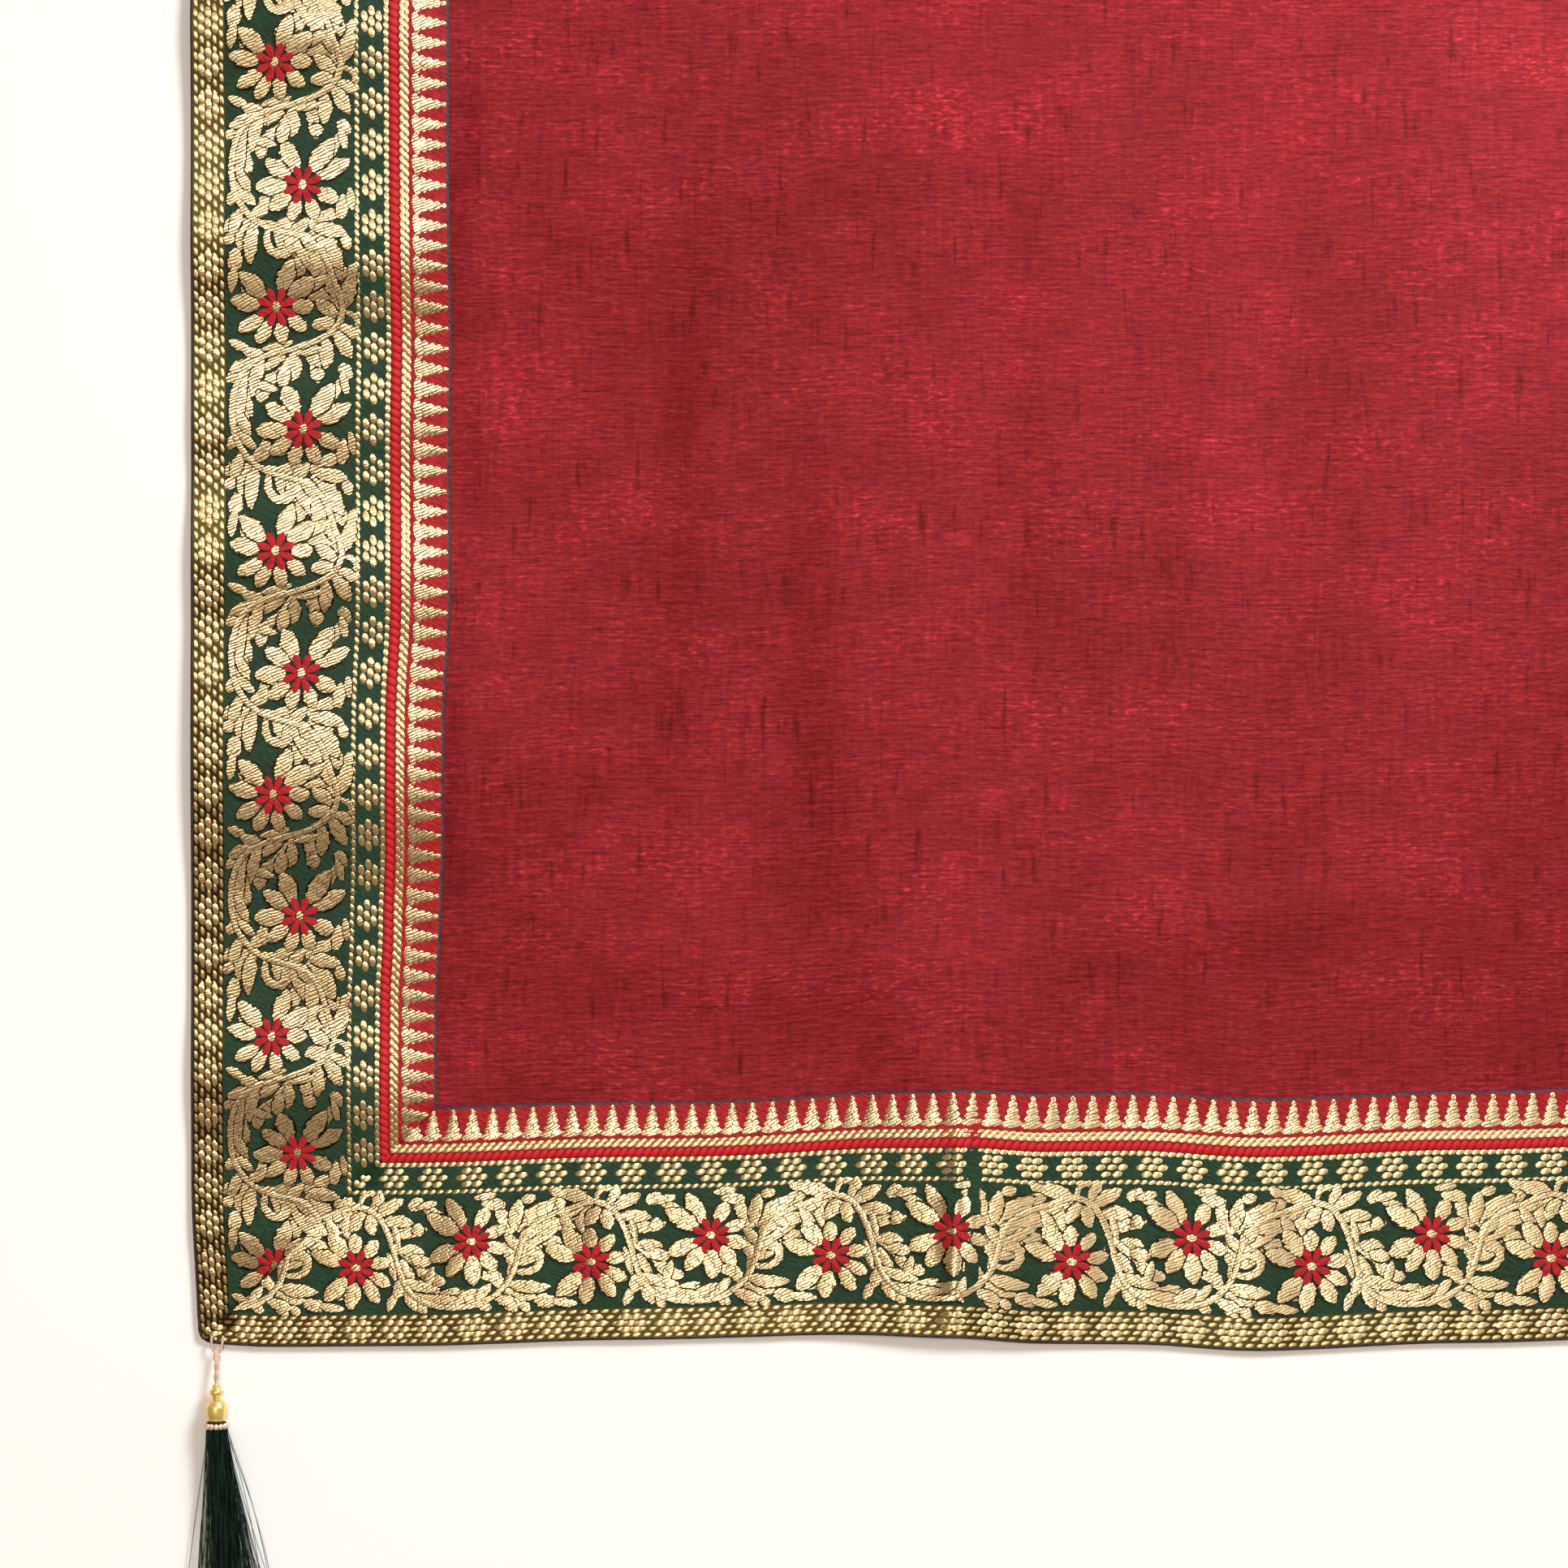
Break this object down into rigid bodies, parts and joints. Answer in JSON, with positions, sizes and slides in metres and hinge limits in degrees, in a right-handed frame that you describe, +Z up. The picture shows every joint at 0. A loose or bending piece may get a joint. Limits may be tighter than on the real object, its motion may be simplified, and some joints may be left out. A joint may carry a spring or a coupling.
{
  "type": "silk sari",
  "caption": "Long sheet of slub silk laid out flat, edged with mitred brocade tape and hung with corner tassels.",
  "frame": {"origin": "under the middle of the laid-out sari and its tassels, on the surface that it lies on", "axes": "+Z up, +Y along the length from the pallu end with the tassels to the inner end, +X across the width"},
  "size_m": [1.1048, 5.6101, 0.0153],
  "materials": {
    "silk": "crimson slub silk with a soft sheen",
    "brocade": "gold zari brocade on green and red silk",
    "thread": "twisted beige and gilt thread",
    "gilt": "polished gilt",
    "pale_gilt": "pale rose gilt",
    "tassel_silk": "dark green twisted silk"
  },
  "bodies": {
    "root": {"field": "silk", "border_left": "brocade", "border_right": "brocade", "border_pallu": "brocade", "thread_left": "thread", "bead_left": "gilt", "cap_left": "gilt", "collar_left": "pale_gilt", "skirt_left": "tassel_silk", "thread_right": "thread", "bead_right": "gilt", "cap_right": "gilt", "collar_right": "pale_gilt", "skirt_right": "tassel_silk"}
  },
  "joints": []
}
